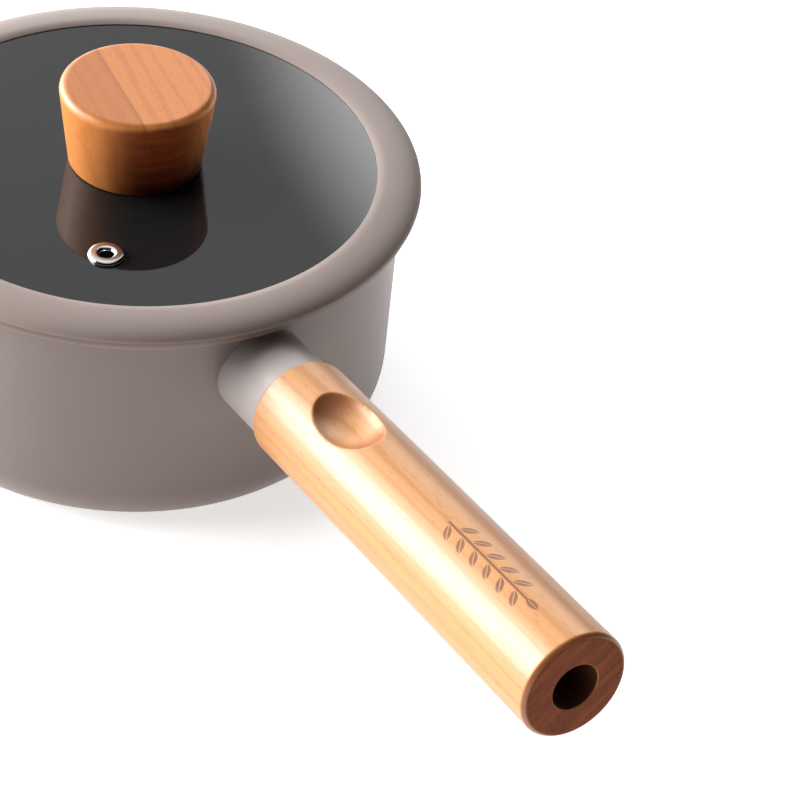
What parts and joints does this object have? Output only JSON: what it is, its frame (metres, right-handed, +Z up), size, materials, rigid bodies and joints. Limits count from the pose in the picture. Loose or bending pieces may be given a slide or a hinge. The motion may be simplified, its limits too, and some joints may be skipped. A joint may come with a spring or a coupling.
{
  "type": "saucepan with glass lid",
  "caption": "Short round saucepan with a straight stick handle and a flat see-through lid in a soft rim, lifted by a round knob.",
  "frame": {"origin": "on the pan's axis, at the underside of the base", "axes": "+Z up along the pan's axis, +X along the handle's direction seen from above"},
  "size_m": [0.3793, 0.2, 0.1218],
  "materials": {
    "enamel": "cast, with a matte warm grey ceramic coating",
    "base_steel": "turned rings",
    "beech_grip": "oiled",
    "beech_knob": "oiled",
    "smoked_glass": "polished, tinted",
    "silicone": "matte warm grey",
    "gasket": "matte",
    "bright_steel": "polished",
    "fastener_steel": "zinc plated",
    "brass": "machined"
  },
  "bodies": {
    "pan": {"pan_body": "enamel", "induction_plate": "base_steel", "handle_boss": "enamel", "boss_insert": "fastener_steel", "handle_ferrule": "enamel", "locating_pin": "fastener_steel", "handle_grip": "beech_grip", "handle_bolt": "fastener_steel", "bolt_washer": "fastener_steel", "spring_washer": "fastener_steel"},
    "lid": {"lid_glass": "smoked_glass", "lid_rim": "silicone", "lid_knob": "beech_knob", "knob_insert": "brass", "knob_gasket_upper": "gasket", "knob_gasket_lower": "gasket", "knob_washer": "bright_steel", "knob_screw": "bright_steel", "vent_eyelet": "bright_steel", "vent_washer": "bright_steel"}
  },
  "joints": [
    {"name": "lid_lift", "type": "slide", "parent": "pan", "child": "lid", "axis": [0, 0, 1], "range_m": [0, 0.12]}
  ]
}
